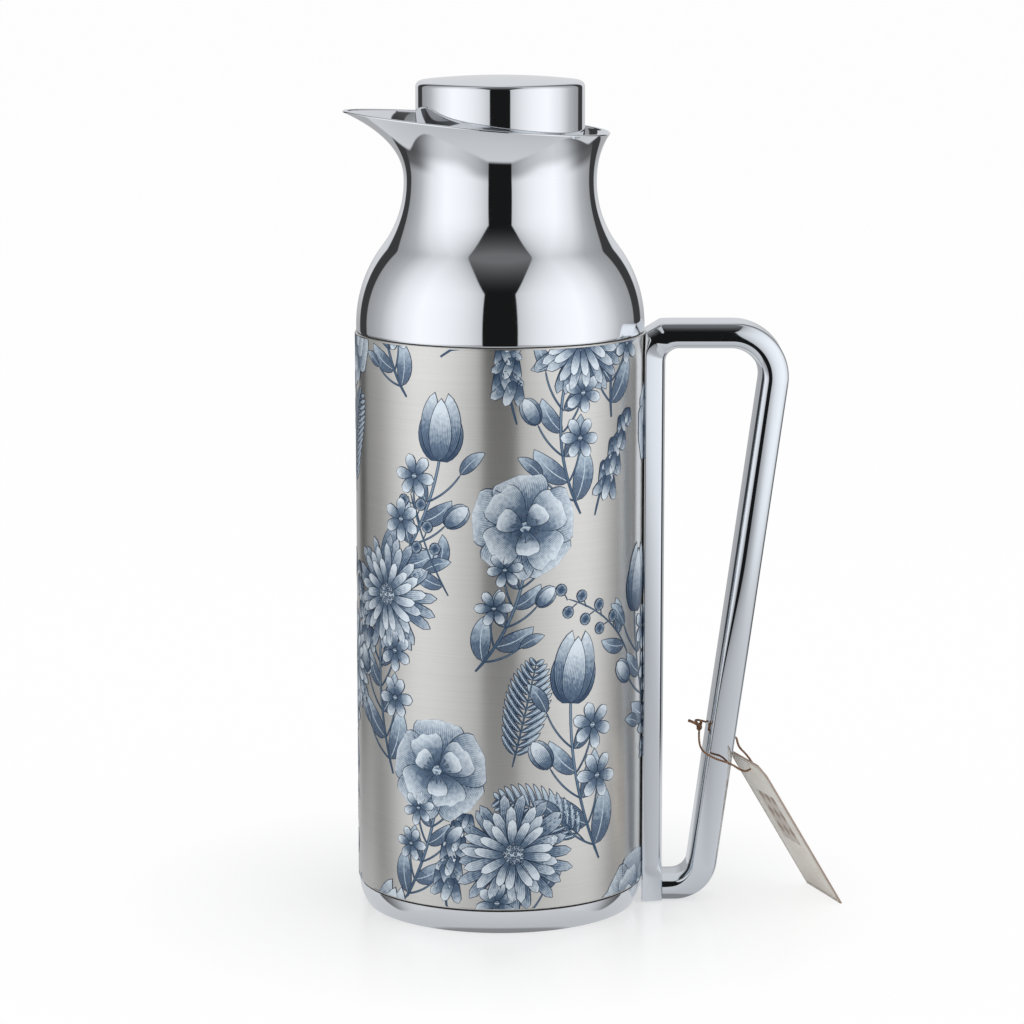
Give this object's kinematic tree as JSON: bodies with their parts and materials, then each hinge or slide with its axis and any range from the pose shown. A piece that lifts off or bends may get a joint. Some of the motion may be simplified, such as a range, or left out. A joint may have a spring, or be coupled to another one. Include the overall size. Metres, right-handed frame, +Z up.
{
  "type": "insulated pouring jug",
  "caption": "Slim insulated table jug with a steel sleeve, chrome shoulder and pouring lip, a push-top threaded stopper that opens the pour valve, and a chrome loop handle.",
  "frame": {"origin": "middle of the base ring's foot, on the table", "axes": "+Z up along the jug's axis, +X towards the handle, -X towards the spout, +Y away from the viewer of the picture"},
  "size_m": [0.1876, 0.108, 0.3116],
  "materials": {
    "chrome_shell": "polished chrome plate on moulded plastic",
    "chrome_handle": "polished chrome plate on moulded plastic",
    "sleeve_steel": "brushed round the sleeve, with a blue floral print",
    "dark_plastic": "fine moulded texture",
    "black_rubber": "matt",
    "clear_silicone": "smooth, slightly cloudy",
    "zinc_steel": "bright zinc plate",
    "liner_glass": "blown glass, silvered on the vacuum side",
    "tag_card": "matt uncoated card with a brown border",
    "tag_string": "twisted thin cord"
  },
  "bodies": {
    "jug": {"shoulder_shell": "chrome_shell", "steel_sleeve": "sleeve_steel", "base_ring": "chrome_shell", "upper_seam_gasket": "black_rubber", "lower_seam_gasket": "black_rubber", "handle_strip": "dark_plastic", "handle_rail": "chrome_handle", "handle_grip": "chrome_handle", "grip_dowels": "zinc_steel", "handle_screws": "zinc_steel", "handle_backing_plates": "zinc_steel", "base_plate": "dark_plastic", "base_screws": "zinc_steel", "liner_screw_cap": "dark_plastic", "liner_cushion": "black_rubber", "liner_outer_bottle": "liner_glass", "liner_inner_bottle": "liner_glass", "liner_mouth_gasket": "clear_silicone", "neck_collar": "dark_plastic", "swing_tag": "tag_card", "tag_string": "tag_string", "tag_knot": "tag_string"},
    "stopper_seat": {"stopper_gasket": "clear_silicone"},
    "stopper": {"stopper_body": "dark_plastic", "stem_seal": "clear_silicone", "return_spring": "zinc_steel"},
    "push_cap": {"push_cap": "chrome_shell", "cap_core": "dark_plastic", "stem_screw": "zinc_steel", "valve_stem": "dark_plastic", "valve_disc": "dark_plastic", "valve_seal": "clear_silicone"}
  },
  "joints": [
    {"name": "stopper_lift", "type": "slide", "parent": "jug", "child": "stopper_seat", "axis": [0, 0, 1], "range_m": [0, 0.0601]},
    {"name": "stopper_turn", "type": "hinge", "parent": "stopper_seat", "child": "stopper", "pos_m": [0, 0, 0.264], "axis": [0, 0, 1], "range_deg": [0, 900]},
    {"name": "cap_press", "type": "slide", "parent": "stopper", "child": "push_cap", "axis": [0, 0, 1], "range_m": [-0.005, 0], "stiffness_N_per_m": 600, "springref_m": 0.004, "deforming": ["return_spring"]}
  ],
  "couplings": [
    {"joint": "stopper_lift", "follows": "stopper_turn", "m_per_rad": 0.0038197}
  ]
}
